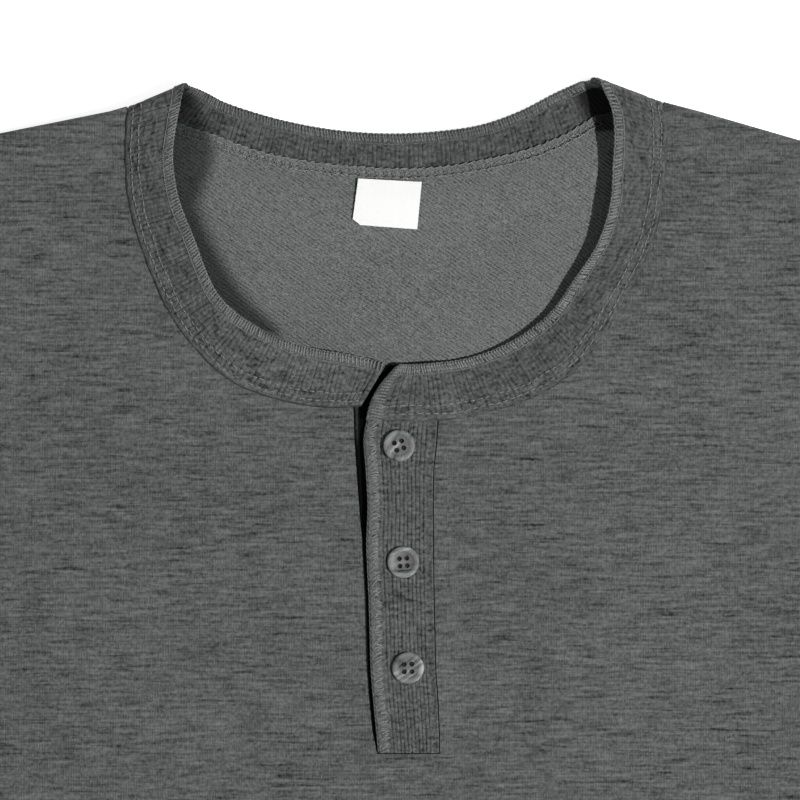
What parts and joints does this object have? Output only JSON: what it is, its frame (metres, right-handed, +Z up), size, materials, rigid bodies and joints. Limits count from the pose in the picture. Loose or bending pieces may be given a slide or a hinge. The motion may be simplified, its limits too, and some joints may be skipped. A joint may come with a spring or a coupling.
{
  "type": "henley shirt laid flat",
  "caption": "Short-sleeved henley shirt in heather jersey, laid flat, with a ribbed neckband and a buttoned placket below it.",
  "frame": {"origin": "middle of the shirt's box in plan, on the surface that it lies on", "axes": "+X across the shirt towards the sleeve on the right as seen from above, +Y to the neck, +Z up off the surface"},
  "size_m": [0.91, 0.7504, 0.0138],
  "materials": {
    "heather": "matte heather jersey knit",
    "rib": "matte rib knit with twin-needle and overlock stitching",
    "button": "polished marbled grey",
    "label": "satin woven tape, bare"
  },
  "bodies": {
    "root": {"back": "heather", "front": "heather", "sleeve_left": "heather", "sleeve_right": "heather", "neckband": "rib", "placket": "rib", "placket_under": "rib", "button_1": "button", "button_2": "button", "button_3": "button", "label": "label"}
  },
  "joints": []
}
